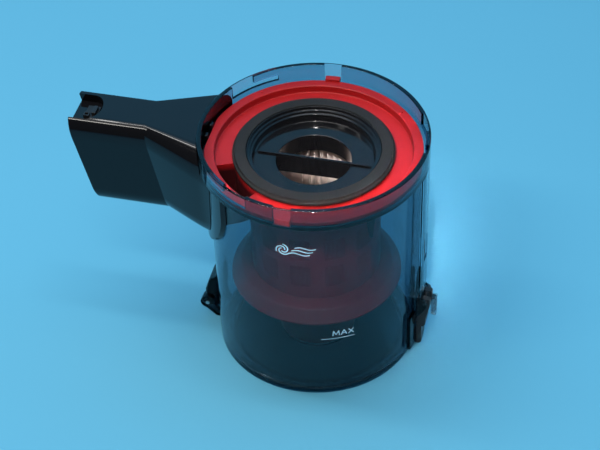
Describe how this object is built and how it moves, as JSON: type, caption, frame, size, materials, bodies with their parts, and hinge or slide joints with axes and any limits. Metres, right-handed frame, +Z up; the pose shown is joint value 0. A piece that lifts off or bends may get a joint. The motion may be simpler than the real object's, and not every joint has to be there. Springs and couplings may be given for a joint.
{
  "type": "vacuum cleaner dust canister",
  "caption": "Clear cylindrical cyclone dust canister with side inlet duct, lift-out separator and pleated filter, and a hinged bottom door on a push-rod latch",
  "frame": {"origin": "on the floor under the middle of the round bottom door, the canister standing upright", "axes": "+Z up along the canister, +X towards the latch and push rod, -X along the inlet duct"},
  "size_m": [0.2552, 0.156, 0.177],
  "materials": {
    "clear_bin": "clear smoke-tinted polycarbonate, polished",
    "smoke_plastic": "dark smoke-tinted polycarbonate, polished",
    "black_gloss": "polished black ABS",
    "black_satin": "satin black",
    "red_plastic": "satin red ABS",
    "seal_rubber": "matte moulded rubber, dark warm grey",
    "filter_paper": "pleated filter paper, beige",
    "steel": "drawn steel wire and pins"
  },
  "bodies": {
    "bin": {"dust_bin": "clear_bin", "rod_cover": "clear_bin", "inlet_duct": "black_gloss", "inlet_gasket": "black_satin", "hose_catch": "black_satin", "hinge_bracket": "smoke_plastic", "hinge_pin": "steel", "door_spring": "steel", "latch_bracket": "smoke_plastic", "latch_pin": "steel", "latch_spring": "steel", "rod_spring": "steel"},
    "door": {"bottom_door": "smoke_plastic", "door_seal": "seal_rubber"},
    "latch": {"latch_lever": "black_satin", "thumb_pad": "smoke_plastic"},
    "rod": {"push_rod": "clear_bin", "rod_shoe": "smoke_plastic"},
    "separator": {"separator_deck": "red_plastic", "separator_seal": "seal_rubber", "shroud": "red_plastic", "separator_skirt": "red_plastic", "fine_dust_tube": "red_plastic"},
    "filter": {"filter_frame": "black_gloss", "filter_seal": "seal_rubber", "pleated_filter": "filter_paper", "filter_end_cap": "black_satin"}
  },
  "joints": [
    {"name": "door_hinge", "type": "hinge", "parent": "bin", "child": "door", "pos_m": [-0.08, 0, 0.0125], "axis": [0, 1, 0], "range_deg": [0, 95]},
    {"name": "rod_push", "type": "slide", "parent": "bin", "child": "rod", "axis": [0, 0, -1], "range_m": [0, 0.003], "stiffness_N_per_m": 120, "springref_m": -0.004, "deforming": ["rod_spring"]},
    {"name": "latch_release", "type": "hinge", "parent": "bin", "child": "latch", "pos_m": [0.079, 0, 0.0435], "axis": [0, -1, 0], "range_deg": [0, 8.5], "stiffness_Nm_per_rad": 0.02},
    {"name": "separator_lift", "type": "slide", "parent": "bin", "child": "separator", "axis": [0, 0, 1], "range_m": [0, 0.18]},
    {"name": "filter_lift", "type": "slide", "parent": "separator", "child": "filter", "axis": [0, 0, 1], "range_m": [0, 0.085]}
  ],
  "couplings": [
    {"joint": "latch_release", "follows": "rod_push", "rad_per_m": 47}
  ]
}
